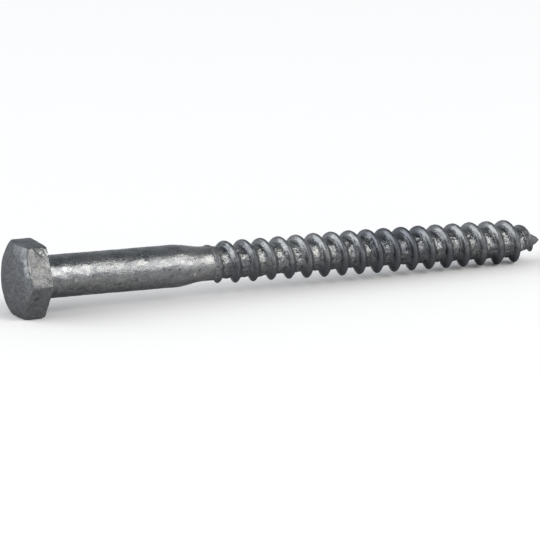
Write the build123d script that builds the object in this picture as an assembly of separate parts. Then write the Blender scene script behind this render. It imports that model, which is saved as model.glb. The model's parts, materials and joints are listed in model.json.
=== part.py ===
from build123d import *
import math
import os

os.makedirs("parts", exist_ok=True)

# Lag screw, 8 mm x 100 mm nominal, hot-dip galvanised.  All sizes in millimetres.
# Stations along the screw are measured from the bearing face, the underside of the head.

# Head
ACROSS_FLATS = 13.0            # spanner size
HEAD_HEIGHT = 5.3              # bearing face to the crown of the end face
CROWN_RISE = 0.45              # how far the end face domes out
FACE_RADIUS = 5.7              # edge of the domed face, where the chamfer starts
CHAMFER_ANGLE = 33.0           # slope of the rounded chamfer, midway out to the corners
CORNER_ROUND = 0.45            # rounding down each corner of the hexagon
NECK_COLLAR = 0.4              # small cone between the bearing face and the shank

# Plain shank and the reduced neck ahead of the thread
SHANK_DIA = 7.55
SHANK_LENGTH = 26.0            # plain cylinder, from the bearing face
NECK_DIA = 6.3
NECK_START = 31.0              # the shank has tapered down to the neck here

# Thread: one start, right hand
PITCH = 3.6
MAJOR_DIA = 8.0
ROOT_DIA = 5.7
FIRST_ROOT_DIA = 6.05          # the first turns are cut less deep
FLANK_ANGLE = 30.0             # each flank, from square to the axis
CREST_LAND = 0.3               # narrow flat along the crest
THREAD_START = 31.9            # the ridge comes up out of the neck here
FULL_THREAD = 36.9             # and has its full height from here
RIDGE_LEAD = 1.6               # length of ridge hidden in the neck before that
ROOT_START = 33.6              # the neck steps down to the first root here
FIRST_CREST = 36.63            # station of a crest on the upper side
ROOT_TAPER_END = 48.0          # the root is at its full depth from here

# Gimlet point
CONE_START = 95.4              # the root cylinder turns into the point
LENGTH = 101.5                 # bearing face to tip
TIP_RADIUS = 0.15              # blunt end of the point
CREST_BEND = 95.6              # the crests start to close in here
CREST_SLOPE = 0.48             # radius lost by the crest per mm along the point
RIDGE_FADE = 99.0              # the ridge starts to sink into the point
RIDGE_END = 101.1

POINTS_PER_TURN = 8            # stations where each edge of the ridge is worked out

FOOT_DEPTH = 0.6               # the ridge is rooted this far down, as a share of the core radius

HALF_FLATS = ACROSS_FLATS / 2
CORNER_RADIUS = HALF_FLATS / math.cos(math.radians(30))
FLANK_SLOPE = math.tan(math.radians(FLANK_ANGLE))


def ease(t):
    """Smooth step from 0 to 1."""
    t = min(1.0, max(0.0, t))
    return t * t * (3 - 2 * t)


def soft_limit(value, limit, sharpness):
    """The lower of value and limit, with the corner between them rounded off."""
    return limit - math.log(1 + math.exp(sharpness * (limit - value))) / sharpness


def core_radius(s):
    """Radius of the metal the ridge stands on, at station s."""
    first = FIRST_ROOT_DIA / 2
    full = ROOT_DIA / 2
    if s <= ROOT_START:
        return NECK_DIA / 2
    if s <= ROOT_TAPER_END:
        return first + (full - first) * (s - ROOT_START) / (ROOT_TAPER_END - ROOT_START)
    if s <= CONE_START:
        return full
    return full - (full - TIP_RADIUS) * (s - CONE_START) / (LENGTH - CONE_START)


def crest_radius(s):
    """Radius of the crest at station s: grows out of the neck, sinks into the point."""
    neck = NECK_DIA / 2
    full = MAJOR_DIA / 2
    if s < (FULL_THREAD + CREST_BEND) / 2:
        growing = neck + (full - neck) * (s - THREAD_START) / (FULL_THREAD - THREAD_START)
        return soft_limit(growing, full, 12)
    closing = full - CREST_SLOPE * (s - CREST_BEND)
    crest = soft_limit(closing, full, 5)
    core = core_radius(s)
    fade = 1 - 1.25 * ease((s - RIDGE_FADE) / (RIDGE_END - RIDGE_FADE))
    return core + (crest - core) * fade


def ridge_section(s):
    """Four (radius, offset along the axis) corners of the ridge at station s, foot to foot."""
    crest = crest_radius(s)
    foot = FOOT_DEPTH * core_radius(s)
    full_height = MAJOR_DIA / 2 - FOOT_DEPTH * ROOT_DIA / 2
    land = CREST_LAND / 2 * min(1.0, (crest - foot) / full_height)
    base = land + (crest - foot) * FLANK_SLOPE
    return [(foot, -base), (crest, -land), (crest, land), (foot, base)]


def helix_point(turn, corner):
    """Point on one edge of the ridge; turn is counted from the first upper crest."""
    station = FIRST_CREST + PITCH * turn
    radius, offset = ridge_section(station)[corner]
    angle = 2 * math.pi * turn
    return Vector(radius * math.cos(angle), radius * math.sin(angle), station + offset)


def helix_slope(turn, corner):
    """Rate of change of helix_point per turn."""
    step = 0.001
    return (helix_point(turn + step, corner) - helix_point(turn - step, corner)) / (2 * step)


# ---------------------------------------------------------------- head
outline = fillet(RegularPolygon(CORNER_RADIUS, 6, rotation=30).vertices(), CORNER_ROUND)
prism = extrude(outline, HEAD_HEIGHT + 1)
prism = Pos(0, 0, -HEAD_HEIGHT - 1) * prism

face_edge = -HEAD_HEIGHT + CROWN_RISE
over = CORNER_RADIUS + 1
crown_r = (FACE_RADIUS**2 + CROWN_RISE**2) / (2 * CROWN_RISE)
crown_sweep = math.degrees(math.asin(FACE_RADIUS / crown_r))
crown = CenterArc((0, crown_r - HEAD_HEIGHT), crown_r, -90, crown_sweep)
chamfer_r = (FACE_RADIUS + CORNER_RADIUS) / 2 / math.sin(math.radians(CHAMFER_ANGLE))
chamfer_centre = face_edge + math.sqrt(chamfer_r**2 - FACE_RADIUS**2)
inner_angle = -math.degrees(math.acos(FACE_RADIUS / chamfer_r))
outer_angle = -math.degrees(math.acos(over / chamfer_r))
chamfer_arc = CenterArc((0, chamfer_centre), chamfer_r, inner_angle, outer_angle - inner_angle)
sides = Polyline(chamfer_arc @ 1, (over, 0), (0, 0), (0, -HEAD_HEIGHT))
envelope = revolve(Plane.XZ * make_face([crown, chamfer_arc, sides]), Axis.Z)
head = prism & envelope

# ---------------------------------------------------------------- shank, neck, root and point
shank_r = SHANK_DIA / 2
neck_r = NECK_DIA / 2
root_r = ROOT_DIA / 2
step_end = ROOT_START + PITCH / 4
profile = Polyline(
    (0, -1),
    (shank_r + NECK_COLLAR, -1),
    (shank_r + NECK_COLLAR, 0),
    (shank_r, NECK_COLLAR),
    (shank_r, SHANK_LENGTH),
    (neck_r, NECK_START),
    (neck_r, ROOT_START),
    (core_radius(step_end), step_end),
    (root_r, ROOT_TAPER_END),
    (root_r, CONE_START),
    (TIP_RADIUS, LENGTH),
    (0, LENGTH),
    close=True,
)
stem = revolve(Plane.XZ * make_face(profile), Axis.Z)

# ---------------------------------------------------------------- thread ridge
first_turn = (THREAD_START - RIDGE_LEAD - FIRST_CREST) / PITCH
last_turn = (RIDGE_END - FIRST_CREST) / PITCH
spans = math.ceil(last_turn - first_turn)
span_turns = (last_turn - first_turn) / spans
stops = [first_turn + span_turns * i for i in range(spans + 1)]


def ridge_edge(start, corner):
    count = max(4, round(POINTS_PER_TURN * span_turns))
    turns = [start + span_turns * i / count for i in range(count + 1)]
    points = [helix_point(turn, corner) for turn in turns]
    ends = (helix_slope(turns[0], corner), helix_slope(turns[-1], corner))
    return Edge.make_spline(points, tangents=ends, parameters=turns, scale=False)


def cap(turn):
    corners = [helix_point(turn, corner) for corner in range(4)]
    return make_face(Polyline(*corners, close=True))


skin = []
for start in stops[:-1]:
    edges = [ridge_edge(start, corner) for corner in range(4)]
    for i in range(4):
        skin.append(Face.make_surface_from_curves(edges[i], edges[(i + 1) % 4]))
skin += cap(stops[0]).faces()
skin += cap(stops[-1]).faces()
ridge = Solid(Shell(skin))
if ridge.volume < 0:
    ridge = -ridge

upright = (head + stem).solid() + ridge

# ---------------------------------------------------------------- as it lies
# It rests on a flat of the head and on the last full crest that points down.
half_turn_crest = FIRST_CREST + PITCH / 2
crests_down = math.floor((CREST_BEND - 1.0 - half_turn_crest) / PITCH)
rest_station = half_turn_crest + PITCH * crests_down + CREST_LAND / 2
rest_tilt = math.atan((HALF_FLATS - MAJOR_DIA / 2) / rest_station)
axis = Vector(math.cos(rest_tilt), 0, -math.sin(rest_tilt))
upward = Vector(math.sin(rest_tilt), 0, math.cos(rest_tilt))
lag_screw = Plane(origin=(0, 0, 0), x_dir=upward, z_dir=axis).location * upright
lag_screw.label = "lag_screw"

export_step(lag_screw, "parts/lag_screw.step")
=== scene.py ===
# %% [markdown]
# # A hot-dip galvanised lag screw
# A lag screw is forged from one length of steel: a hexagon head is upset on one end, the other
# end is rolled between dies that raise the thread, and then the whole screw is dipped in molten
# zinc. So there is one piece here, and its looks come from two things: an exact helical shape,
# and a dull, mottled zinc coat that lies smooth on the shank and crusty between the threads.
#
# The packed model gives the frame. Its record says where the bearing face, the shank, the thread
# and the spanner flats are, and every size that it holds is read from there.

# %% Load the packed model
import bpy
import bmesh
import json
import math
import numpy as np
from mathutils import Matrix, Vector

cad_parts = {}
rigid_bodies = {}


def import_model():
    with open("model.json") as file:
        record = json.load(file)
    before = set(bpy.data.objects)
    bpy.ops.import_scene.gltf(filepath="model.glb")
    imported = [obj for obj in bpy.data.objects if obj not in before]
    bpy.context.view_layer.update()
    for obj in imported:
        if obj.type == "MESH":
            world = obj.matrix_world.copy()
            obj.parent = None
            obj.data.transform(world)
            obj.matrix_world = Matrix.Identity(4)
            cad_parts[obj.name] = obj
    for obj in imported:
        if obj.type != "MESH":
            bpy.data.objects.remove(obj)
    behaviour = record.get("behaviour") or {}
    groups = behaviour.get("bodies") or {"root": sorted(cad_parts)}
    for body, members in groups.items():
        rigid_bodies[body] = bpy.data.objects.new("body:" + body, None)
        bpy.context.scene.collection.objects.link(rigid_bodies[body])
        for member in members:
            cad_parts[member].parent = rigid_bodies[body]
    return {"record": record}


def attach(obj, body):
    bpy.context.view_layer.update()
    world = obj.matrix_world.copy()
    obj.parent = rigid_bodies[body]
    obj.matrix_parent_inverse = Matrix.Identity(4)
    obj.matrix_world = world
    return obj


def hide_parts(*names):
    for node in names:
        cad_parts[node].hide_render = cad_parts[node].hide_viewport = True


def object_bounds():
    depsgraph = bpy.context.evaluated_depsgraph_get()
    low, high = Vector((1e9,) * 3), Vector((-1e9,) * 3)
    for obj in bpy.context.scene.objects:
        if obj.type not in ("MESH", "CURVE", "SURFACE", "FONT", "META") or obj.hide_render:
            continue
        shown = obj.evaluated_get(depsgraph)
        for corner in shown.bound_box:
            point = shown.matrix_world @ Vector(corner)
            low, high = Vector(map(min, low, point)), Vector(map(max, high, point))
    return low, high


for leftover in list(bpy.data.objects):
    bpy.data.objects.remove(leftover)
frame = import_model()
cad_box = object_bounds()
print("CAD box, m:", [list(corner) for corner in cad_box])

# %% [markdown]
# ## Sizes
# The screw is worked out standing on its own axis, in millimetres: Z runs from the bearing face
# under the head to the point, and X is the side that faces up when the screw lies down. A place
# along Z is called a station. A last matrix lays the screw in the frame, in metres. Sizes that
# the record doesn't hold are typed here.

# %% Sizes from the record, in millimetres
mounts = {mount["name"]: mount for mount in frame["record"]["mounts"]}
axis = Vector(mounts["bearing_face"]["axis"]).normalized()
upward = Vector(mounts["spanner_flat_upper"]["axis"]).normalized()


def place_of(name):
    """Middle of a mount, in metres, in the frame."""
    return Vector(mounts[name]["pos_m"])


def station_of(name):
    """Middle of a mount, in mm from the bearing face along the screw."""
    return place_of(name).dot(axis) * 1000


SHANK_R = mounts["shank"]["dims"]["r_mm"]
SHANK_END = station_of("shank") + mounts["shank"]["dims"]["length_mm"] / 2
MAJOR_R = mounts["wood_thread"]["dims"]["r_mm"]
THREAD_START = station_of("wood_thread") - mounts["wood_thread"]["dims"]["length_mm"] / 2
TIP = station_of("wood_thread") + mounts["wood_thread"]["dims"]["length_mm"] / 2
ACROSS_FLATS = (place_of("spanner_flat_upper") - place_of("spanner_flat_lower")).length * 1000
HALF_FLATS = ACROSS_FLATS / 2
HEAD_HEIGHT = -2 * station_of("hex_drive")
print(f"shank r {SHANK_R}, thread r {MAJOR_R}, from {THREAD_START:.1f} to {TIP:.1f} mm")
print(f"head {HEAD_HEIGHT:.2f} mm high, {ACROSS_FLATS:.2f} mm across flats")

# %% Sizes of the neck, the thread and the point, in millimetres
COAT = 0.09  # zinc on the plain shank, over the packed model
COATED_R = SHANK_R + COAT
NECK_R = 3.15
NECK_START = 31.0
TAPER_START = SHANK_END + 0.1
TAPER_END = NECK_START + 1.2

PITCH = 3.6
EARLY_R = 3.9  # crests of the first turns
LATE_R = MAJOR_R + 0.11  # crests of the later turns, where the zinc is thicker
SETTLE_START = 43.0  # between these two stations the crests grow from early to late
SETTLE_END = 58.0
FULL_THREAD = 36.9
FIRST_CREST = 36.63

FIRST_ROOT_R = 2.83
ROOT_R = 2.8
ROOT_START = 33.6
ROOT_STEP_END = ROOT_START + 1.2
ROOT_TAPER_END = 48.0

CONE_START = 95.4
CREST_BEND = 95.4
CREST_SLOPE = 0.48
RIDGE_FADE = 99.0
RIDGE_END = 101.1
POINT_R = 0.42
print(f"neck from {NECK_START} mm, pitch {PITCH} mm, crests {EARLY_R} to {LATE_R:.2f} mm from the axis")

# %% [markdown]
# ## Sums written as nodes
# The thread follows a rule: its radius depends only on how far along the screw and how far round
# it a point is. Geometry Nodes can work that out for every point at once. A tree of sums is hard
# to read as a picture, so this small class lets a socket be added and multiplied like a number,
# and places one Math node each time. The shader groups further down use it too.


# %% A socket that does arithmetic
class Field:
    """A socket of a node tree that can be used in sums with other sockets and plain numbers."""

    def __init__(self, tree, socket):
        self.tree = tree
        self.socket = socket

    def plug(self, value, target):
        """Link a field to an input, or type a plain number into it."""
        if isinstance(value, Field):
            self.tree.links.new(value.socket, target)
        else:
            target.default_value = value

    def math(self, operation, *others):
        node = self.tree.nodes.new("ShaderNodeMath")
        node.operation = operation
        for value, target in zip((self, *others), node.inputs):
            self.plug(value, target)
        return Field(self.tree, node.outputs[0])

    def __add__(self, other):
        return self.math("ADD", other)

    def __sub__(self, other):
        return self.math("SUBTRACT", other)

    def __mul__(self, other):
        return self.math("MULTIPLY", other)

    def __truediv__(self, other):
        return self.math("DIVIDE", other)

    def lowest(self, other, blend=None):
        """The lower of two values, with their meeting line rounded where a blend is given."""
        return self.math("MINIMUM", other) if blend is None else self.math("SMOOTH_MIN", other, blend)

    def highest(self, other, blend=None):
        """The higher of two values, with their meeting line rounded where a blend is given."""
        return self.math("MAXIMUM", other) if blend is None else self.math("SMOOTH_MAX", other, blend)

    def ramp(self, start, end, low, high, shape="SMOOTHSTEP"):
        """low before start, high after end, and a ramp between them."""
        node = self.tree.nodes.new("ShaderNodeMapRange")
        node.interpolation_type = shape
        settings = {"Value": self, "From Min": start, "From Max": end, "To Min": low, "To Max": high}
        for name, value in settings.items():
            self.plug(value, node.inputs[name])
        return Field(self.tree, node.outputs["Result"])

    def window(self, shut, opened, closing, closed):
        """0 before shut, 1 from opened to closing, and 0 again after closed."""
        return self.ramp(shut, opened, 0, 1) * self.ramp(closing, closed, 1, 0)


print("Field can do:", [name for name in vars(Field) if not name.startswith("__")])

# %% [markdown]
# ## Trees that start and end alike
# Both trees of this file take a mesh, a number for each of their sizes and a material, and both
# end in Realize Instances and Set Material, so the mesh that comes out is plain and has its
# finish on it. The modifier's inputs are set by their identifiers, and the result is copied off
# the evaluated object, which leaves no modifier behind.


# %% The start and the end of a tree, and a run of it
def start_tree(name, sizes):
    """A tree with one named input for each size; returns it with its input node and its fields."""
    tree = bpy.data.node_groups.new(name, "GeometryNodeTree")
    tree.interface.new_socket("Geometry", in_out="INPUT", socket_type="NodeSocketGeometry")
    for label, value in sizes.items():
        socket = tree.interface.new_socket(label, in_out="INPUT", socket_type="NodeSocketFloat")
        socket.default_value = value
    tree.interface.new_socket("Finish", in_out="INPUT", socket_type="NodeSocketMaterial")
    tree.interface.new_socket("Geometry", in_out="OUTPUT", socket_type="NodeSocketGeometry")
    entry = tree.nodes.new("NodeGroupInput")
    return tree, entry, {label: Field(tree, entry.outputs[label]) for label in sizes}


def end_tree(tree, entry, flow):
    """Make the geometry real, put the finish on it and send it out."""
    realize = tree.nodes.new("GeometryNodeRealizeInstances")
    paint = tree.nodes.new("GeometryNodeSetMaterial")
    leave = tree.nodes.new("NodeGroupOutput")
    tree.links.new(flow, realize.inputs[0])
    tree.links.new(realize.outputs[0], paint.inputs["Geometry"])
    tree.links.new(entry.outputs["Finish"], paint.inputs["Material"])
    tree.links.new(paint.outputs[0], leave.inputs[0])
    print(tree.name, "has", len(tree.nodes), "nodes")


def grown(obj, tree, values):
    """A plain mesh of obj with the tree's modifier applied; the modifier is then removed."""
    modifier = obj.modifiers.new(tree.name, "NODES")
    modifier.node_group = tree
    sockets = {item.name: item.identifier for item in tree.interface.items_tree if item.in_out == "INPUT"}
    for name, value in values.items():
        modifier[sockets[name]] = value
    evaluated = obj.evaluated_get(bpy.context.evaluated_depsgraph_get())
    mesh = bpy.data.meshes.new_from_object(evaluated)
    obj.modifiers.remove(modifier)
    return mesh


# %% [markdown]
# ## The thread
# A thread is easiest to make from a sheet of squares that is wound round the screw like a
# ribbon: moving once round the sheet also moves one pitch along the screw. Every edge of the
# sheet then runs along the thread, so the crest is one clean line of points and needs no extra
# ones. Where the ribbon meets itself its points fall on each other, and Merge by Distance joins
# them. At both ends the ribbon is pressed flat against a ring, which closes it.
#
# The radius is the higher of two surfaces. One is the core, from the neck to the gimlet point.
# The other is the ridge, which has a rounded crest and falls away on both sides of it; the near
# flank faces the head, and the far flank faces the point. Where the crest drops below the core
# the ridge is simply buried, which is how a rolled thread starts and ends.

# %% Start of the thread's tree
THREAD_SIZES = {
    "Start": SHANK_END - 3, "Tip": TIP, "Pitch": PITCH, "First Crest": FIRST_CREST,
    "Shank Radius": COATED_R, "Taper Start": TAPER_START, "Taper End": TAPER_END,
    "Neck Radius": NECK_R, "Root Start": ROOT_START, "Root Step End": ROOT_STEP_END,
    "First Root Radius": FIRST_ROOT_R, "Root Taper End": ROOT_TAPER_END, "Root Radius": ROOT_R,
    "Thread Start": THREAD_START, "Full Thread": FULL_THREAD,
    "Early Radius": EARLY_R, "Settle Start": SETTLE_START, "Settle End": SETTLE_END,
    "Major Radius": LATE_R,
    "Near Slope": 2.4, "Near Round": 0.52, "Far Slope": 2.5, "Far Round": 0.8, "Root Fillet": 0.4,
    "Cone Start": CONE_START, "Crest Bend": CREST_BEND, "Crest Slope": CREST_SLOPE,
    "Ridge Fade": RIDGE_FADE, "Ridge End": RIDGE_END, "Point Radius": POINT_R,
}
tree, entry, size = start_tree("wound_thread", THREAD_SIZES)
print("thread tree:", len(size), "sizes")

# %% The ribbon, and where each of its points lies
ROUND_STEPS = 112
ROWS_PER_PITCH = 20
rows = math.ceil((TIP - THREAD_SIZES["Start"]) / PITCH * ROWS_PER_PITCH) + ROWS_PER_PITCH
turns_wound = rows / ROWS_PER_PITCH

ribbon = tree.nodes.new("GeometryNodeMeshGrid")
ribbon.inputs["Vertices X"].default_value = ROUND_STEPS + 1
ribbon.inputs["Vertices Y"].default_value = rows + 1
ribbon.inputs["Size X"].default_value = 1
ribbon.inputs["Size Y"].default_value = turns_wound
position = tree.nodes.new("GeometryNodeInputPosition")
sheet_xy = tree.nodes.new("ShaderNodeSeparateXYZ")
tree.links.new(position.outputs[0], sheet_xy.inputs[0])
# The grid is centred: adding half its side makes it start at nothing, and the ribbon starts one
# turn early, so that all of its first edge lies below the start and is pressed flat there.
turn = Field(tree, sheet_xy.outputs["X"]) + 0.5
wound = Field(tree, sheet_xy.outputs["Y"]) + (turns_wound / 2 - 1)
station = (size["Start"] + (wound + turn) * size["Pitch"]).highest(size["Start"]).lowest(size["Tip"])
from_crest = station - size["First Crest"] - turn * size["Pitch"]
across = from_crest.math("WRAP", size["Pitch"] * 0.5, size["Pitch"] * -0.5)
print("ribbon:", rows, "rows of", ROUND_STEPS, "steps, wound", round(turns_wound, 1), "times")

# %% The core: neck, roots and gimlet point
CONE_BLEND = 0.25
TIP_SLOPE = 0.8
TIP_FLAT = 0.1
TIP_BLEND = 0.1
BLUNT_LENGTH = 0.15
BLUNT_SHARE = 0.5
neck = station.ramp(size["Taper Start"], size["Taper End"], size["Shank Radius"], size["Neck Radius"])
first_step = size["Neck Radius"] - size["First Root Radius"]
step_down = station.ramp(size["Root Start"], size["Root Step End"], 0, first_step)
second_step = size["First Root Radius"] - size["Root Radius"]
deepen = station.ramp(size["Root Start"], size["Root Taper End"], 0, second_step, "LINEAR")
to_tip = size["Tip"] - station
cone_slope = (size["Root Radius"] - size["Point Radius"]) / (size["Tip"] - size["Cone Start"])
cone = size["Point Radius"] + to_tip * cone_slope
tip_end = to_tip * TIP_SLOPE + TIP_FLAT
core = (neck - step_down - deepen).lowest(cone, CONE_BLEND).lowest(tip_end, TIP_BLEND)
blunt = to_tip.ramp(0, BLUNT_LENGTH, BLUNT_SHARE, 1)
print(f"core: from {COATED_R:.3f} to {ROOT_R} mm, then down to {POINT_R} mm at the point")

# %% The ridge: how high its crest is, and how it falls away
GROWTH_BLEND = 0.25
CLOSING_BLEND = 0.4
CREST_HALF = 0.2
FAR_FILLET = 1.5
SUNK = -0.25  # at its end the ridge lies this share of its height below the core
growth = (size["Major Radius"] - size["Neck Radius"]) / (size["Full Thread"] - size["Thread Start"])
growing = size["Neck Radius"] + (station - size["Thread Start"]) * growth
settled = station.ramp(
    size["Settle Start"], size["Settle End"], size["Early Radius"], size["Major Radius"])
closing = size["Major Radius"] - (station - size["Crest Bend"]) * size["Crest Slope"]
full_crest = growing.lowest(settled, GROWTH_BLEND).lowest(closing, CLOSING_BLEND)
sinking = station.ramp(size["Ridge Fade"], size["Ridge End"], 1, SUNK)
crest_line = core + (full_crest - core) * sinking

crest_round = across.ramp(-CREST_HALF, CREST_HALF, size["Near Round"], size["Far Round"])
flank_slope = across.ramp(-CREST_HALF, CREST_HALF, size["Near Slope"], size["Far Slope"])
away = (across * across + crest_round * crest_round).math("SQRT") - crest_round
ridge = crest_line - flank_slope * away
fillet = across.ramp(-CREST_HALF, 0.8, 1, FAR_FILLET) * size["Root Fillet"]
radius = core.highest(ridge, fillet) * blunt
print(f"ridge: {LATE_R - ROOT_R:.2f} mm high where it is full")

# %% [markdown]
# ## Where the zinc differs
# Zinc doesn't set alike all over a thread. It gathers as a crust in the roots, and more so on
# the far flank, and it stays smooth on the crest. The far flank is duller than the rest and a
# little darker, which is painted shade, and the foot of the near flank is darker too, also
# painted shade. The tree works out how much of each a point has and stores it on the mesh, and
# the coat and the material read it later.

# %% Masks along the thread
# The crust climbs the far flank further than the near one, so heights on the far flank count less.
height_change = across.ramp(-0.3, 0.9, 0.12, -0.3)
in_root = (radius - core + height_change).ramp(0.2, 0.6, 1, 0)
with_roots = station.ramp(size["Root Start"] - 1, size["Root Start"] + 0.5, 0, 1)
before_tip = station.ramp(size["Ridge Fade"], size["Ridge End"], 1, 0.3)
on_turns = station.ramp(size["Root Start"] - 1.5, size["Root Start"], 0, 1)
thread_masks = {
    "root": in_root * with_roots * before_tip,
    "crest": (radius - core).ramp(0.25, 0.6, 0, 1),
    # The next two masks carry painted shade: darker on the far flank, which is also rougher, and at the
    # foot of the near flank.
    "crease": across.window(-0.4, 0, 1.1, 1.6) * on_turns,
    "foot": across.window(-1.5, -1.2, -0.95, -0.7) * on_turns,
}
flow = ribbon.outputs["Mesh"]
for name, mask in thread_masks.items():
    note = tree.nodes.new("GeometryNodeStoreNamedAttribute")
    note.data_type = "FLOAT"
    note.domain = "POINT"
    note.inputs["Name"].default_value = name
    tree.links.new(mask.socket, note.inputs["Value"])
    tree.links.new(flow, note.inputs["Geometry"])
    flow = note.outputs[0]
print("masks on the thread:", list(thread_masks))

# %% Wind the ribbon, weld it and finish the tree
WELD = 0.002  # mm
angle = turn * (2 * math.pi)
wound_place = tree.nodes.new("ShaderNodeCombineXYZ")
tree.links.new((radius * angle.math("COSINE")).socket, wound_place.inputs["X"])
tree.links.new((radius * angle.math("SINE")).socket, wound_place.inputs["Y"])
tree.links.new(station.socket, wound_place.inputs["Z"])
wind = tree.nodes.new("GeometryNodeSetPosition")
weld = tree.nodes.new("GeometryNodeMergeByDistance")
weld.inputs["Distance"].default_value = WELD
smooth = tree.nodes.new("GeometryNodeSetShadeSmooth")
tree.links.new(flow, wind.inputs["Geometry"])
tree.links.new(wound_place.outputs[0], wind.inputs["Position"])
tree.links.new(wind.outputs[0], weld.inputs[0])
tree.links.new(weld.outputs[0], smooth.inputs[0])
end_tree(tree, entry, smooth.outputs[0])

zinc = bpy.data.materials.new("dull_zinc")
blank = bpy.data.objects.new("thread_blank", bpy.data.meshes.new("thread_blank"))
bpy.context.scene.collection.objects.link(blank)
thread_mesh = grown(blank, tree, {**THREAD_SIZES, "Finish": zinc})
bpy.data.objects.remove(blank)
print("thread:", len(thread_mesh.vertices), "points,", len(thread_mesh.polygons), "faces")

# %% [markdown]
# ## The head and the shank
# The head is a hexagon whose end face is slightly domed, with a round chamfer that cuts the six
# corners. Forging leaves no sharp edge anywhere. A hexagon with soft corners can be written as
# one radius for each direction: six flats, blended with a high power so that only the corners
# give way. The head is then rings of points laid from the middle of the end face outwards, over
# the chamfer, down the flats and in under the head.

# %% The hexagon and the end face
HEAD_STEPS = 360
CORNER_BLEND = 46
CORNER_CROWDING = 0.55
CROWN_RISE = 0.45
FACE_R = 5.7
CHAMFER_ANGLE = math.radians(33)
CHAMFER_BLEND = 0.12
CORNER_R = HALF_FLATS / math.cos(math.radians(30))

even = np.arange(HEAD_STEPS) / HEAD_STEPS * 2 * math.pi
around = even + CORNER_CROWDING / 6 * np.sin(6 * even)


def hexagon(angles):
    """Radius of the soft-cornered hexagon in each direction; a flat faces X."""
    total = sum(np.maximum(np.cos(angles - k * math.pi / 3), 0) ** CORNER_BLEND for k in range(6))
    return HALF_FLATS * total ** (-1 / CORNER_BLEND)


def end_face(radius):
    """Station of the end of the head at a distance from its middle: dome, then chamfer."""
    dome_r = (FACE_R**2 + CROWN_RISE**2) / (2 * CROWN_RISE)
    dome = dome_r - np.sqrt(dome_r**2 - radius**2)
    chamfer_r = (FACE_R + CORNER_R) / 2 / math.sin(CHAMFER_ANGLE)
    chamfer = CROWN_RISE + math.sqrt(chamfer_r**2 - FACE_R**2) - np.sqrt(chamfer_r**2 - radius**2)
    higher = CHAMFER_BLEND * np.logaddexp(dome / CHAMFER_BLEND, chamfer / CHAMFER_BLEND)
    return higher - HEAD_HEIGHT


outline = hexagon(around)
print(f"hexagon: {outline.min():.2f} mm to the flats, {outline.max():.2f} mm to the soft corners")

# %% Rings of the head
EDGE_ROUND = 0.2
EDGE_LENGTH = EDGE_ROUND * 1.4  # the edge at the chamfer is rounder along the screw than across it
FACE_RINGS = 40
FIRST_RING = 0.02  # share of the face's width
EDGE_RINGS = 6
FLAT_RINGS = 26


def ring(radius, station):
    """Points all round the screw, at one radius and station or at one for each direction."""
    return np.stack([radius * np.cos(around), radius * np.sin(around), station + 0 * around], axis=1)


rings = []
for share in np.linspace(FIRST_RING, 1, FACE_RINGS):
    face_r = share * (outline - EDGE_ROUND)
    rings.append(ring(face_r, end_face(face_r)))
rim = end_face(outline - EDGE_ROUND)
for bend in np.linspace(0, math.pi / 2, EDGE_RINGS)[1:]:
    edge_r = outline - EDGE_ROUND * (1 - math.sin(bend))
    rings.append(ring(edge_r, rim + EDGE_LENGTH * (1 - math.cos(bend))))
shoulder = rim + EDGE_LENGTH
for share in np.linspace(0, 1, FLAT_RINGS)[1:]:
    rings.append(ring(outline, shoulder + share * (-EDGE_ROUND - shoulder)))
for bend in np.linspace(0, math.pi / 2, EDGE_RINGS)[1:]:
    rings.append(ring(outline - EDGE_ROUND * (1 - math.cos(bend)), -EDGE_ROUND * (1 - math.sin(bend))))
print("head:", len(rings), "rings of", HEAD_STEPS)

# %% Skin the rings
forged = bmesh.new()


def skin(bm, rows):
    """Faces between rows of points that close on themselves; returns the rows of vertices."""
    made = [[bm.verts.new(point) for point in row] for row in rows]
    for low, high in zip(made, made[1:]):
        for i in range(len(low)):
            j = (i + 1) % len(low)
            bm.faces.new((low[j], low[i], high[i], high[j]))
    return made


head_rows = skin(forged, rings)
middle = forged.verts.new((0, 0, -HEAD_HEIGHT))
for i, point in enumerate(head_rows[0]):
    forged.faces.new((head_rows[0][(i + 1) % HEAD_STEPS], middle, point))
print("head:", len(forged.faces), "faces")

# %% [markdown]
# The shank leaves the underside of the head through a small fillet. It has fewer points round it
# than the head, the same number as the thread, so the flat underside is filled with triangles
# between the two rings, where nothing bends and nothing shows.

# %% The shank, from the fillet to where the thread's ribbon starts
FILLET = 0.5
FILLET_RINGS = 7
SHANK_RINGS = 90
shank_angles = np.arange(ROUND_STEPS) / ROUND_STEPS * 2 * math.pi

shank_profile = []
for bend in np.linspace(0, math.pi / 2, FILLET_RINGS):
    shank_profile.append((COATED_R + FILLET * (1 - math.sin(bend)), FILLET * (1 - math.cos(bend))))
for along in np.linspace(FILLET, THREAD_SIZES["Start"], SHANK_RINGS)[1:]:
    shank_profile.append((COATED_R, along))
shank_rings = [
    np.stack([r * np.cos(shank_angles), r * np.sin(shank_angles), along + 0 * shank_angles], axis=1)
    for r, along in shank_profile
]
shank_rows = skin(forged, shank_rings)


def loop_edges(bm, row):
    """The edges of one closed row of vertices."""
    return [bm.edges.get((row[i], row[(i + 1) % len(row)])) for i in range(len(row))]


underside = loop_edges(forged, head_rows[-1]) + loop_edges(forged, shank_rows[0])
bmesh.ops.triangle_fill(forged, edges=underside, use_beauty=True, normal=(0, 0, 1))
print("shank:", len(shank_rings), "rings of", ROUND_STEPS)

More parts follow.
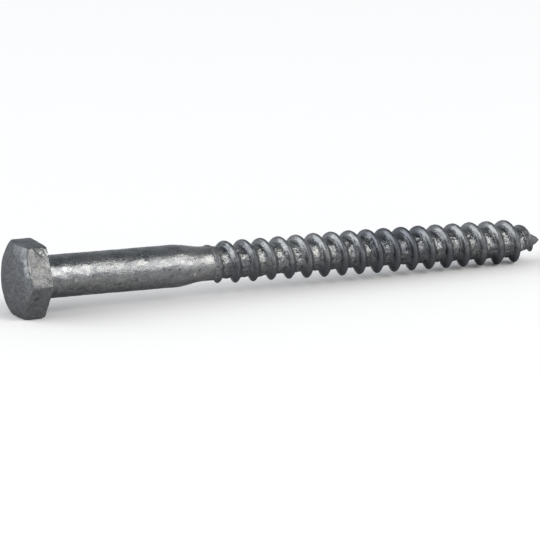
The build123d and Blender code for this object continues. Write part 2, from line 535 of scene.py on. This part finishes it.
# %% Weld the thread to the shank
forged.from_mesh(thread_mesh)
bmesh.ops.remove_doubles(forged, verts=forged.verts, dist=WELD)
point_edges = [edge for edge in forged.edges if len(edge.link_faces) == 1]
end_cap = bmesh.ops.contextual_create(forged, geom=point_edges)["faces"]
bmesh.ops.poke(forged, faces=end_cap)
bmesh.ops.recalc_face_normals(forged, faces=forged.faces)
for face in forged.faces:
    face.smooth = True
open_edges = sum(1 for edge in forged.edges if len(edge.link_faces) != 2)
print("screw:", len(forged.verts), "points,", len(forged.faces), "faces,", open_edges, "open edges")
print("volume:", round(forged.calc_volume(), 1), "mm3")
screw_mesh = bpy.data.meshes.new("galvanised_screw")
forged.to_mesh(screw_mesh)
forged.free()

# %% [markdown]
# ## Marks of forging and dipping
# Every dipped screw has its own marks. Here the upper flat carries a seam along its chamfer, a
# fold of metal at one corner and a smudge; the lower flat has a pit. A few drops of zinc set
# where the screw hung, and it came out of the bath slightly bowed. Broad marks move the points of
# the mesh. Thin ones would need a finer mesh, so each point only remembers how far it lies from
# the nearest line, and the material draws the line from that distance.
#
# Places on a flat are (across, along): across is measured from the middle of the flat, downwards,
# and along from the bearing face, negative towards the end of the head.

# %% Places on the screw
UPPER_FLAT = math.radians(60)
LOWER_FLAT = math.radians(120)
points = np.empty(len(screw_mesh.vertices) * 3)
screw_mesh.vertices.foreach_get("co", points)
points = points.reshape(-1, 3)


def outward(turned):
    """The direction away from the axis, turned round from the top."""
    return np.array([math.cos(turned), math.sin(turned), 0])


def on_flat(turned, across, along):
    """A point on the flat that faces outward in one direction."""
    down = np.array([-math.sin(turned), math.cos(turned), 0])
    return outward(turned) * HALF_FLATS + down * across + np.array([0, 0, along])


def far_from(centre):
    """Distance of every point of the mesh from one place."""
    return np.linalg.norm(points - centre, axis=1)


print("upper flat's middle:", on_flat(UPPER_FLAT, 0, -HEAD_HEIGHT / 2).round(2))

# %% Distance from the thin lines, in line widths
SEAM = ((-3.3, -3.7), (-2.6, -3.9), (-1.3, -4.2), (0.3, -4.27), (1.9, -4.2), (3.1, -3.85), (3.8, -3.6))
FOLD = ((-3.6, -2.6), (-3.1, -2.35), (-2.5, -1.85), (-2.1, -1.6), (-1.9, -1.4))
FOLD_END = ((-1.9, -1.4), (-1.3, -1.1), (-0.7, -1.0))
SMUDGE = ((1.9, -1.1), (2.3, -0.8), (2.6, -0.5))
SPOT = ((-2.1, -2.4), (-2.0, -2.4))
PIT_EDGE = ((-1.2, -2.6), (-0.7, -2.8))
SCRATCH = ((0.7, -0.9), (0.0, -0.3))
LINES = (
    (UPPER_FLAT, SEAM, 0.16), (UPPER_FLAT, FOLD, 0.2), (UPPER_FLAT, FOLD_END, 0.06),
    (UPPER_FLAT, SMUDGE, 0.07), (UPPER_FLAT, SPOT, 0.1),
    (LOWER_FLAT, PIT_EDGE, 0.16), (LOWER_FLAT, SCRATCH, 0.05),
)
NO_LINE = 9.0


def far_from_line(start, end):
    """Distance of every point of the mesh from a straight line between two places."""
    share = np.clip((points - start) @ (end - start) / ((end - start) @ (end - start)), 0, 1)
    return np.linalg.norm(points - start - np.outer(share, end - start), axis=1)


nearest = np.full(len(points), NO_LINE)
for turned, corners, width in LINES:
    for start, end in zip(corners, corners[1:]):
        gap = far_from_line(on_flat(turned, *start), on_flat(turned, *end))
        nearest = np.minimum(nearest, gap / width)
print("points on a line:", int((nearest < 1).sum()))

# %% Crumbs of zinc and the worn flat
CRUMBS = on_flat(UPPER_FLAT, -2.9, -0.8)
CRUMBS_REACH = 0.8
EDGE_STATION = -0.1
EDGE_REACH = 0.4
EDGE_STRENGTH = 0.9
WORN_DEPTH = 0.3
WORN_BLEND = 0.25
up, sideways, along = points.T
at_fold = np.exp(-((far_from(CRUMBS) / CRUMBS_REACH) ** 2))
at_edge = np.exp(-(((along - EDGE_STATION) / EDGE_REACH) ** 2)) * (up > -1) * (sideways > 4)
crumbs = np.maximum(at_fold, at_edge * EDGE_STRENGTH)
above_flat = points @ outward(UPPER_FLAT) - HALF_FLATS
worn = np.clip((above_flat + WORN_DEPTH) / WORN_BLEND, 0, 1) * (along < 0.1)
for name, values in (("line", nearest), ("crumbs", crumbs), ("worn", worn)):
    layer = screw_mesh.attributes.new(name, "FLOAT", "POINT")
    layer.data.foreach_set("value", values)
    print(name, "from", round(float(values.min()), 2), "to", round(float(values.max()), 2))

# %% Dents: (flat, across, along, reach, depth), and drops: (station, degrees, reach, height)
DENTS = (
    (UPPER_FLAT, -3.5, -0.5, 1.0, 0.14), (UPPER_FLAT, -3.6, -2.2, 0.5, 0.12),
    (UPPER_FLAT, 2.3, -0.5, 0.6, 0.12), (UPPER_FLAT, 0.4, -2.2, 1.4, 0.06),
    (UPPER_FLAT, 3.7, -2.9, 0.5, 0.14), (UPPER_FLAT, 3.8, -1.6, 0.4, 0.08),
    (LOWER_FLAT, -0.9, -2.7, 0.32, 0.2), (LOWER_FLAT, 3.6, -2.2, 1.8, -0.16),
    (LOWER_FLAT, 1.5, -1.5, 1.2, 0.08), (LOWER_FLAT, 3.8, -0.2, 0.5, 0.12),
)
DROPS = (
    (34.5, 165, 0.45, 0.14), (36.5, 166, 0.5, 0.2), (40.2, 165, 0.55, 0.22), (43.0, 166, 0.75, 0.42),
    (44.1, 165, 0.4, 0.12), (94.4, 165, 0.5, 0.25), (96.2, 165, 0.6, 0.4), (4.8, 60, 0.35, 0.03),
    (5.7, 92, 0.3, 0.04), (7.9, 81, 0.3, 0.03), (29.0, 107, 0.2, 0.04),
)
DROP_DEPTH = 0.9  # a drop on the thread sits this far below the crests


def push(centre, direction, reach, amount):
    """Move the points round a centre along a direction, fading over the reach."""
    points[:] += np.outer(amount * np.exp(-((far_from(centre) / reach) ** 2)), direction)


for turned, across_flat, along, reach, depth in DENTS:
    push(on_flat(turned, across_flat, along), -outward(turned), reach, depth)
for along, degrees, reach, drop_height in DROPS:
    turned = math.radians(degrees)
    base = MAJOR_R - DROP_DEPTH if along > NECK_START else SHANK_R
    push(outward(turned) * base + np.array([0, 0, along]), outward(turned), reach, drop_height)
points[:, 0] = np.maximum(points[:, 0], -HALF_FLATS)
print("marks:", len(LINES), "lines,", len(DENTS), "dents and", len(DROPS), "drops")

# %% The bow
BOW = 0.31
BOW_LEAN = 0.9  # below 1, the bow is deepest a little on the head's side of the middle


def bow_at(along):
    """How far the bent axis lies above the straight one, for a station or an array of them."""
    share = np.clip((along + HEAD_HEIGHT) / (TIP + HEAD_HEIGHT), 0, 1)
    return BOW * np.sin(math.pi * share**BOW_LEAN)


points[:, 0] += bow_at(points[:, 2])
screw_mesh.vertices.foreach_set("co", points.ravel())
print("bow:", BOW, "mm, and", round(float(bow_at(SHANK_END)), 2), "mm at the end of the shank")

# %% [markdown]
# ## The coat
# The zinc itself follows a rule too, so it is a second tree. It moves the skin by a slow ripple
# everywhere and by lumps in the roots of the thread, and it sinks small pits there. The ripple is
# weaker on the crests and stops where the crust begins. Noise and cells make these patterns,
# and each is shifted by a fixed amount, so the screw comes out the same every time.

# %% Start of the coat's tree
COAT_SIZES = {
    "Ripple": 0.05, "Ripple Size": 2.2, "Lump": 0.12, "Lump Size": 1.2, "Pit": 0.2, "Pit Size": 1.9,
}
CREST_RIPPLE = 0.4
coat_tree, entry, size = start_tree("zinc_coat", COAT_SIZES)
spot = coat_tree.nodes.new("GeometryNodeInputPosition")


def mesh_mask(name):
    """A mask that the thread's tree stored on the mesh."""
    node = coat_tree.nodes.new("GeometryNodeInputNamedAttribute")
    node.data_type = "FLOAT"
    node.inputs["Name"].default_value = name
    return Field(coat_tree, node.outputs["Attribute"])


def pattern(kind, width, seed, output):
    """A noise or cell pattern whose features are about as wide as the input says."""
    node = coat_tree.nodes.new(kind)
    shift = coat_tree.nodes.new("ShaderNodeVectorMath")
    shift.operation = "ADD"
    shift.inputs[1].default_value = (seed, seed * 2, seed * 3)
    coat_tree.links.new(spot.outputs[0], shift.inputs[0])
    coat_tree.links.new(shift.outputs[0], node.inputs["Vector"])
    coat_tree.links.new(width.math("POWER", -1).socket, node.inputs["Scale"])
    return Field(coat_tree, node.outputs[output])


print("coat tree:", COAT_SIZES)

# %% Ripple, lumps and pits, moved along the normals
in_root = mesh_mask("root")
off_root = in_root.ramp(0, 1, 1, 0)
off_crest = mesh_mask("crest").ramp(0, 1, 1, CREST_RIPPLE)
wave = pattern("ShaderNodeTexNoise", size["Ripple Size"], 11, "Fac").ramp(0.3, 0.7, -1, 0)
lump = pattern("ShaderNodeTexNoise", size["Lump Size"], 23, "Fac").ramp(0.42, 0.68, 0, 1)
cell = pattern("ShaderNodeTexVoronoi", size["Pit Size"], 37, "Distance").ramp(0.1, 0.26, 1, 0)
lift = wave * size["Ripple"] * off_root * off_crest + (lump * size["Lump"] - cell * size["Pit"]) * in_root

facing = coat_tree.nodes.new("GeometryNodeInputNormal")
along_normal = coat_tree.nodes.new("ShaderNodeVectorMath")
along_normal.operation = "SCALE"
coat_tree.links.new(facing.outputs[0], along_normal.inputs[0])
coat_tree.links.new(lift.socket, along_normal.inputs["Scale"])
swell = coat_tree.nodes.new("GeometryNodeSetPosition")
coat_tree.links.new(entry.outputs["Geometry"], swell.inputs["Geometry"])
coat_tree.links.new(along_normal.outputs[0], swell.inputs["Offset"])
end_tree(coat_tree, entry, swell.outputs[0])

# %% Dip the screw
bare = bpy.data.objects.new("bare_screw", screw_mesh)
bpy.context.scene.collection.objects.link(bare)
screw_mesh = grown(bare, coat_tree, {**COAT_SIZES, "Finish": zinc})
screw_mesh.name = "galvanised_screw"
bpy.data.objects.remove(bare)
print("dipped screw:", len(screw_mesh.vertices), "points")
print("attributes:", sorted(layer.name for layer in screw_mesh.attributes))

# %% [markdown]
# ## Lying down
# So far the screw stands on its head's underside plane at the origin. One matrix turns it on to
# its side and into metres. The frame's floor is the lowest thing that the packed model reaches.

# %% Lay the screw in the frame
lay = Matrix((upward, axis.cross(upward), axis)).transposed() * 0.001
screw_mesh.transform(lay.to_4x4())
screw = bpy.data.objects.new("galvanised_screw", screw_mesh)
bpy.context.scene.collection.objects.link(screw)
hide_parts("lag_screw")
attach(screw, "root")
print("screw, m:", [round(side, 4) for side in screw.dimensions])

# %% [markdown]
# ## The zinc
# Hot-dip zinc that has weathered for a while is a dull, dark, slightly blue grey. It isn't even:
# clouds a few millimetres wide, a fine grain, and small flow marks. Between the threads it has
# set as a crust that catches the light in sparks. Three node groups hold these patterns. They
# read the screw's own coordinates, scaled to millimetres, so they stay put on the metal.

# %% Helpers for shader groups
FLOAT, VECTOR = "NodeSocketFloat", "NodeSocketVector"


def start_group(name, inputs, outputs):
    """A shader group with float outputs; returns it, its input fields and its output node."""
    group = bpy.data.node_groups.new(name, "ShaderNodeTree")
    for label, kind in inputs.items():
        group.interface.new_socket(label, in_out="INPUT", socket_type=kind)
    for label in outputs:
        group.interface.new_socket(label, in_out="OUTPUT", socket_type=FLOAT)
    entry = group.nodes.new("NodeGroupInput")
    leave = group.nodes.new("NodeGroupOutput")
    return group, {label: Field(group, entry.outputs[label]) for label in inputs}, leave


def end_group(group, leave, fields):
    """Send each field out of the group under its name."""
    for label, field in fields.items():
        group.links.new(field.socket, leave.inputs[label])
    print(group.name, "has", len(group.nodes), "nodes and puts out", list(fields))


def noise(where, scale, detail=2.0, roughness=0.5, distortion=0.0, stretch=(1, 1, 1), shift=(0, 0, 0)):
    """Noise field, mostly between 0.3 and 0.7, on a vector field in millimetres."""
    tree = where.tree
    mapping = tree.nodes.new("ShaderNodeMapping")
    mapping.inputs["Scale"].default_value = [scale * side for side in stretch]
    mapping.inputs["Location"].default_value = shift
    tree.links.new(where.socket, mapping.inputs["Vector"])
    node = tree.nodes.new("ShaderNodeTexNoise")
    node.inputs["Scale"].default_value = 1
    node.inputs["Detail"].default_value = detail
    node.inputs["Roughness"].default_value = roughness
    node.inputs["Distortion"].default_value = distortion
    tree.links.new(mapping.outputs[0], node.inputs["Vector"])
    return Field(tree, node.outputs["Fac"])


# %% Group 1: clouds, grain, blotches and speckle
mottle, given, leave = start_group(
    "zinc_mottle", {"Place": VECTOR}, ("Cloud", "Grain", "Blotch", "Speckle"))
place = given["Place"]
end_group(mottle, leave, {
    "Cloud": noise(place, 0.6, 4, 0.65, 0.4, stretch=(0.6, 1, 1)).ramp(0.34, 0.66, 0, 1),
    "Grain": noise(place, 2.6, 3, 0.65).ramp(0.3, 0.7, 0, 1),
    "Blotch": noise(place, 0.9, 2, 0.5, 0.8, stretch=(0.6, 1, 1), shift=(7, 3, 1)).ramp(0.6, 0.7, 0, 1),
    "Speckle": noise(place, 4.4, 1, 0.5, shift=(3, 3, 7)).ramp(0.35, 0.65, -1, 1),
})

# %% Group 2: the relief of the coat, with heights in millimetres
relief, given, leave = start_group(
    "zinc_relief", {"Place": VECTOR, "Rough": FLOAT, "Crest": FLOAT, "Line": FLOAT, "Crumbs": FLOAT},
    ("Height", "Fine", "Crust", "Hole", "Groove", "Crumb"))
place = given["Place"]
ripple = noise(place, 0.8, 2, 0.5, stretch=(0.5, 1, 1)) * (given["Crest"] * -0.06 + 0.12)
fine = noise(place, 3.2, 3, 0.65) * (given["Crest"] * -0.045 + given["Rough"] * 0.01 + 0.066)
crust = noise(place, 0.9, 2, 0.5, 0.3, shift=(2, 9, 4)).ramp(0.4, 0.6, 0, 1) * given["Rough"]
hole = noise(place, 1.15, 1, 0.4, 0.2, shift=(5, 1, 8)).ramp(0.6, 0.66, 0, 1) * given["Rough"]
groove = given["Line"].ramp(0.3, 1.0, 1, 0)
crumb = noise(place, 2.0, 2, 0.5, shift=(1, 4, 2)).ramp(0.42, 0.6, 0, 1) * given["Crumbs"]
end_group(relief, leave, {
    "Height": ripple + fine + crust * 0.05 - hole * 0.07 - groove * 0.08 + crumb * 0.07,
    "Fine": fine, "Crust": crust, "Hole": hole, "Groove": groove, "Crumb": crumb,
})

# %% Group 3: one mark, such as a pit or a bright fleck
mark, given, leave = start_group(
    "zinc_mark", {"Place": VECTOR, "Centre": VECTOR, "Radius": FLOAT}, ("Mask",))
from_centre = mark.nodes.new("ShaderNodeVectorMath")
from_centre.operation = "DISTANCE"
mark.links.new(given["Place"].socket, from_centre.inputs[0])
mark.links.new(given["Centre"].socket, from_centre.inputs[1])
ragged = noise(given["Place"], 2.4, 2, 0.6) * 2.4 - 0.2
reached = Field(mark, from_centre.outputs["Value"]) * ragged / given["Radius"]
end_group(mark, leave, {"Mask": reached.ramp(0.55, 1, 1, 0)})

# %% Start of the material: the place on the screw, in millimetres
zinc.use_nodes = True
net = zinc.node_tree
shader = net.nodes["Principled BSDF"]
where = net.nodes.new("ShaderNodeTexCoord")
to_mm = net.nodes.new("ShaderNodeVectorMath")
to_mm.operation = "SCALE"
to_mm.inputs["Scale"].default_value = 1000
net.links.new(where.outputs["Object"], to_mm.inputs[0])
place_mm = to_mm.outputs[0]


def use_group(group, **links):
    """Place a group in the material with its inputs linked; returns its output fields."""
    node = net.nodes.new("ShaderNodeGroup")
    node.node_tree = group
    for name, socket in links.items():
        net.links.new(socket, node.inputs[name])
    return {output.name: Field(net, output) for output in node.outputs}


def stored(name):
    """A mask that the mesh carries."""
    node = net.nodes.new("ShaderNodeAttribute")
    node.attribute_name = name
    return Field(net, node.outputs["Fac"])


rough = stored("root")
crest = stored("crest")
spread = use_group(mottle, Place=place_mm)
coat = use_group(
    relief, Place=place_mm, Rough=rough.socket, Crest=crest.socket,
    Line=stored("line").socket, Crumbs=stored("crumbs").socket)
print("patterns in the material:", [*spread, *coat])

# %% [markdown]
# ## Pits and flecks
# A few marks are big enough to be placed one by one: dark pits where the zinc missed the steel,
# and pale flecks where it froze bright. One strong fleck on the shank is a painted glint, and one
# wide, faint one is a painted reflection. Each is one use of the third group, with its own centre
# and radius, so the list below reads like an inspector's notes.


# %% Where a mark lies, in the frame
def on_shank(along, degrees):
    """A point of the shank or the neck, in mm, degrees round from the top."""
    turned = math.radians(degrees)
    share = min(max((along - TAPER_START) / (TAPER_END - TAPER_START), 0), 1)
    r = COATED_R - (COATED_R - NECK_R) * share**2 * (3 - 2 * share)
    return lay @ Vector((r * math.cos(turned) + bow_at(along), r * math.sin(turned), along)) * 1000


def on_upper(across_flat, along):
    """A point of the upper flat, in mm."""
    return lay @ Vector(on_flat(UPPER_FLAT, across_flat, along)) * 1000


def on_lower(across_flat, along):
    """A point of the lower flat, in mm."""
    return lay @ Vector(on_flat(LOWER_FLAT, across_flat, along)) * 1000


def marks(places):
    """All the masks of one kind of mark, added up."""
    total = None
    for centre, mark_r, strength in places:
        mask = use_group(mark, Place=place_mm)["Mask"]
        mask.socket.node.inputs["Centre"].default_value = centre
        mask.socket.node.inputs["Radius"].default_value = mark_r
        total = mask * strength if total is None else total + mask * strength
    return total


print("a third of the way down the shank, at the top:", on_shank(SHANK_END / 3, 0).to_tuple(2))

# %% The marks: (place, radius, strength)
PITS = (
    (on_shank(22.7, 83), 0.3, 0.8), (on_shank(23.8, 86), 0.3, 0.7), (on_shank(25.8, 88), 0.3, 0.8),
    (on_shank(30.0, 94), 0.3, 0.8), (on_shank(19.6, 43), 0.8, 0.5), (on_shank(17.5, 104), 0.3, 0.6),
    (on_lower(-0.95, -2.7), 0.5, 1), (on_upper(-2.2, -2.45), 0.2, 0.9),
    (on_upper(-2.65, -0.75), 0.16, 0.8), (on_upper(-3.05, -1.0), 0.14, 0.7),
    (on_upper(2.5, -1.3), 0.9, 0.3),
)
FLECKS_AND_GLINT = (
    (on_shank(3.7, 60), 0.55, 0.3), (on_shank(4.8, 57), 0.35, 0.3), (on_shank(5.7, 92), 0.35, 0.3),
    # The fleck at station 29 with strength 3 is a painted glint, and the wide faint one at station 25 is
    # a painted reflection.
    (on_shank(7.9, 81), 0.3, 0.3), (on_shank(29.0, 106), 0.22, 3), (on_shank(25, 103), 5.0, 0.05),
    (on_upper(-2.8, -1.38), 0.26, 0.45), (on_upper(-2.3, -0.98), 0.26, 0.45),
    (on_upper(-2.5, -0.3), 0.4, 0.6), (on_upper(-3.2, -0.5), 0.3, 0.5),
    (on_upper(0.9, -1.7), 0.6, 0.15), (on_upper(-0.3, -0.4), 0.6, 0.15), (on_upper(0.1, -4.75), 1.1, 0.2),
    (on_upper(1.4, -4.75), 0.8, 0.13), (on_upper(-1.5, -4.75), 0.8, 0.12),
    (lay @ Vector((0.5, 2.4, 96.7)) * 1000, 0.8, 0.6), (lay @ Vector((-0.5, 2.4, 96.8)) * 1000, 0.5, 0.5),
)
pits = marks(PITS)
flecks = marks(FLECKS_AND_GLINT)
print("marks in the material:", len(PITS), "pits and", len(FLECKS_AND_GLINT), "flecks")

# %% [markdown]
# ## Tone along the screw
# A dipped screw drains lengthwise and cools from its ends, so the coat isn't the same from end to
# end. The head is darker and duller, the neck is pale, and some turns are dull and others bright.
# Each of these is a mask between two stations. Other masks paint shade and light into the tone:
# painted shade on the lower side of the shank and the thread, on the top of the shank near the
# head, on the far flank of the thread and at the foot of its near flank, and a painted reflection
# of the floor in a pale band along the shank, just below its middle. The tone of the zinc is the
# mottling plus a list of masks, each with how far it makes the metal paler or darker.

# %% Masks by place
split = net.nodes.new("ShaderNodeSeparateXYZ")
net.links.new(place_mm, split.inputs[0])
station_mm = Field(net, split.outputs["X"])
uphill = net.nodes.new("ShaderNodeVectorMath")
uphill.operation = "DOT_PRODUCT"
uphill.inputs[1].default_value = upward
net.links.new(place_mm, uphill.inputs[0])
uphill_mm = Field(net, uphill.outputs["Value"])

THREAD_EDGE = (33, 36)
on_head = station_mm.ramp(-0.2, 0.6, 1, 0)
on_plain = station_mm.window(0, 0.6, *THREAD_EDGE)
in_thread = station_mm.ramp(*THREAD_EDGE, 0, 1)
near_head = station_mm.ramp(2, 12, 1, 0) * on_plain
smooth_end = station_mm.window(16, 26, 32, 35)
at_neck = station_mm.window(26, 30, 32, 35)
dull_turns = station_mm.window(62, 70, 73.5, 77.5) * in_thread
bright_turns = (station_mm.window(40, 45, 53, 60) + station_mm.ramp(84, 88, 0, 1)) * in_thread
# Painted reflection: a pale band along the shank, just below its middle, where the floor is mirrored.
painted_reflection_band = uphill_mm.window(-1.6, -0.7, -0.1, 0.4) * station_mm.window(5, 9, 18, 23)
# Painted shade: the top of the shank near the head is darker.
painted_shade_top = uphill_mm.ramp(1, 2.5, 0, 1) * station_mm.ramp(3, 9, 1, 0) * on_plain
# Painted shade: the lower side of the shank and of the thread is darker.
painted_shade_low_shank = uphill_mm.ramp(-3.5, -0.4, 0.5, 0) * on_plain
painted_shade_low_thread = uphill_mm.ramp(-3, 2, 0.7, 0) * in_thread
worn_flat = stored("worn")
# Painted shade on the thread's far flank and at the foot of its near flank.
crease = stored("crease")
foot = stored("foot")
print("masks by place:", len(net.nodes), "nodes so far")

# %% The tone of the zinc
mottled = (
    spread["Cloud"] * (on_head * -0.15 + 0.5) + spread["Grain"] * (crest * -0.15 + 0.4)
    + spread["Speckle"] * (crest * -0.08 + rough * 0.06 + 0.12) - spread["Blotch"] * 0.3
)
on_worn = spread["Grain"] * 0.3 + spread["Cloud"] * 0.3 + spread["Speckle"] * 0.18 - 0.37
shade = mottled + worn_flat * on_worn + 0.1
# Painted reflection among these: the pale band along the shank.
PALER = (
    (painted_reflection_band, 0.25), (at_neck, 0.3), (bright_turns, 0.2), (coat["Crust"], 0.15), (coat["Crumb"], 0.8),
)
# Painted shade among these: the top near the head, the lower side, the far flank and the foot.
DARKER = (
    (on_head, 0.22), (painted_shade_top, 0.15), (smooth_end, 0.04), (painted_shade_low_shank, 1), (painted_shade_low_thread, 1),
    (in_thread, 0.07), (dull_turns, 0.75), (crest, 0.05), (crease, 0.1), (foot, 0.4),
    (pits, 1), (coat["Hole"], 0.7), (coat["Groove"], 2),
)
for mask, amount in PALER:
    shade = shade + mask * amount
for mask, amount in DARKER:
    shade = shade - mask * amount
print("tone:", len(PALER), "masks make it paler and", len(DARKER), "darker")

# %% Colour: from dark to pale zinc, warmer where it is worn or crusty, bright in the flecks and in the painted glint
DARK_ZINC = (0.088, 0.092, 0.101, 1)
PALE_ZINC = (0.222, 0.222, 0.218, 1)
WARM_ZINC = (0.26, 0.25, 0.215, 1)
BRIGHT_ZINC_AND_GLINT = (0.5, 0.51, 0.51, 1)
FACTOR, COLOUR_A, COLOUR_B, MIXED = 0, 6, 7, 2  # places of the colour sockets on a Mix node


def mix_towards(colour, factor):
    """A Mix node whose second colour is set; its first colour is still open."""
    node = net.nodes.new("ShaderNodeMix")
    node.data_type = "RGBA"
    node.inputs[COLOUR_B].default_value = colour
    net.links.new(factor.socket, node.inputs[FACTOR])
    return node


toned = mix_towards(PALE_ZINC, shade)
toned.inputs[COLOUR_A].default_value = DARK_ZINC
warmed = mix_towards(WARM_ZINC, worn_flat * spread["Grain"] * 0.4 + coat["Crust"] * 0.12)
flecked_and_glinting = mix_towards(BRIGHT_ZINC_AND_GLINT, flecks.lowest(1))
net.links.new(toned.outputs[MIXED], warmed.inputs[COLOUR_A])
net.links.new(warmed.outputs[MIXED], flecked_and_glinting.inputs[COLOUR_A])
net.links.new(flecked_and_glinting.outputs[MIXED], shader.inputs["Base Color"])
print("zinc from", DARK_ZINC[:3], "to", PALE_ZINC[:3])

# %% Dullness and relief
dullness = (
    spread["Grain"] * 0.1 - spread["Cloud"] * 0.06 + rough * -0.02 + crest * 0.02 + crease * 0.3
    + on_head * 0.2 + smooth_end * 0.05 + 0.25
)
net.links.new(dullness.socket, shader.inputs["Roughness"])
shader.inputs["Metallic"].default_value = 1
shader.inputs["Specular Tint"].default_value = (0.55, 0.55, 0.55, 1)

smoothed = (smooth_end + near_head * 1.5 + worn_flat) * coat["Fine"] * 0.4
relief_height = coat["Height"] - pits * 0.1 - smoothed
bump = net.nodes.new("ShaderNodeBump")
bump.inputs["Strength"].default_value = 1
bump.inputs["Distance"].default_value = 0.001
net.links.new(relief_height.socket, bump.inputs["Height"])
net.links.new(bump.outputs[0], shader.inputs["Normal"])
print("zinc:", len(net.nodes), "nodes and three groups")

# %% [markdown]
# ## The studio
# Bare metal shows what stands round it more than its own colour, so the studio is most of the
# look. A white sheet under the screw makes the pale background and is mirrored in its lower side.
# The world stands for the walls: a pale strip low in front and one low on the left light the
# near side, a paler wall stands behind, and above the walls it is dimmer, so the tops of round
# parts stay dark. A large softbox in front and to the right draws the bright band along the
# shank, and two windows, on the right and on the left, light the flanks of the thread and the
# end of the head.

# %% Floor
MIDDLE_X = 0.05  # m, about halfway along the screw
FLOOR_SIZE = 6
bpy.ops.mesh.primitive_plane_add(size=FLOOR_SIZE, location=(MIDDLE_X, 0, cad_box[0][2]))
floor = bpy.context.object
floor.name = "studio_floor"
sheet_white = bpy.data.materials.new("white_sheet")
sheet_white.use_nodes = True
sheet_shader = sheet_white.node_tree.nodes["Principled BSDF"]
sheet_shader.inputs["Base Color"].default_value = (0.815, 0.795, 0.78, 1)
sheet_shader.inputs["Roughness"].default_value = 1
sheet_shader.inputs["Specular IOR Level"].default_value = 0
floor.data.materials.append(sheet_white)
print("floor at", round(floor.location.z * 1000, 2), "mm")

# %% World
world = bpy.data.worlds.new("studio")
bpy.context.scene.world = world
world.use_nodes = True
sky = world.node_tree
seen_from = sky.nodes.new("ShaderNodeTexCoord")
direction = sky.nodes.new("ShaderNodeSeparateXYZ")
sky.links.new(seen_from.outputs["Generated"], direction.inputs[0])
rightward, backward, height = [Field(sky, direction.outputs[name]) for name in "XYZ"]
walls = height.ramp(0.12, 0.4, 0.71, 0.53)
behind = backward.ramp(0.2, 0.7, 0, 0.7) * height.ramp(0.5, 0.85, 1, 0)
in_front = backward.ramp(-0.8, -0.3, 1.7, 0) * height.ramp(0.0, 0.32, 1, 0)
to_left = rightward.ramp(-0.95, -0.6, 1.1, 0) * height.ramp(0, 0.3, 1, 0)
glow = walls + behind + in_front + to_left
sky.links.new(glow.socket, sky.nodes["Background"].inputs["Strength"])
sky.nodes["Background"].inputs["Color"].default_value = (0.89, 0.945, 1, 1)
print("world:", len(sky.nodes), "nodes")

# %% Softboxes
LAMP_DISTANCE = 3.0


def softbox(name, direction, spread, radiance, colour):
    """A rectangular lamp that faces the middle of the screw; spread is its two angles in degrees."""
    width, height = [2 * LAMP_DISTANCE * math.tan(math.radians(angle) / 2) for angle in spread]
    data = bpy.data.lights.new(name, "AREA")
    data.shape = "RECTANGLE"
    data.size = width
    data.size_y = height
    data.energy = radiance * math.pi * width * height
    data.color = colour
    lamp = bpy.data.objects.new(name, data)
    toward = Vector(direction).normalized()
    lamp.location = Vector((MIDDLE_X, 0, 0)) + toward * LAMP_DISTANCE
    lamp.rotation_euler = toward.to_track_quat("Z", "Y").to_euler()
    bpy.context.scene.collection.objects.link(lamp)
    print(name, round(width, 2), "by", round(height, 2), "m,", round(data.energy), "W")


softbox("key_softbox", (0.45, -0.70, 0.55), (29, 40), 5.5, (1, 0.985, 0.955))
softbox("right_window", (0.9, -0.2, 0.35), (32, 26), 1.1, (0.97, 0.99, 1))
softbox("left_window", (-0.885, 0.16, 0.43), (60, 37), 3.6, (0.96, 0.98, 1))

# %% Camera
AZIMUTH = math.radians(-26.06)
ELEVATION = math.radians(13.99)
ROLL = math.radians(0.655)
DISTANCE = 0.729
LENS = 275.3
AIM_RIGHT = 0.04096
AIM_UP = 0.00139
flat_share = math.cos(ELEVATION)
back = Vector((math.sin(AZIMUTH) * flat_share, -math.cos(AZIMUTH) * flat_share, math.sin(ELEVATION)))
level = Vector((math.cos(AZIMUTH), math.sin(AZIMUTH), 0))
rise = back.cross(level)
camera_right = level * math.cos(ROLL) + rise * math.sin(ROLL)
camera_up = rise * math.cos(ROLL) - level * math.sin(ROLL)
aim = camera_right * AIM_RIGHT + camera_up * AIM_UP
camera_data = bpy.data.cameras.new("camera")
camera_data.lens = LENS
camera_data.sensor_width = 36
camera_data.clip_start = 0.01
camera = bpy.data.objects.new("camera", camera_data)
bpy.context.scene.collection.objects.link(camera)
facing_screw = Matrix((camera_right, camera_up, back)).transposed().to_4x4()
camera.matrix_world = Matrix.Translation(aim + back * DISTANCE) @ facing_screw
bpy.context.scene.camera = camera
bpy.context.scene.view_settings.view_transform = "Standard"
print("camera:", LENS, "mm lens,", DISTANCE, "m from", [round(value, 4) for value in aim])
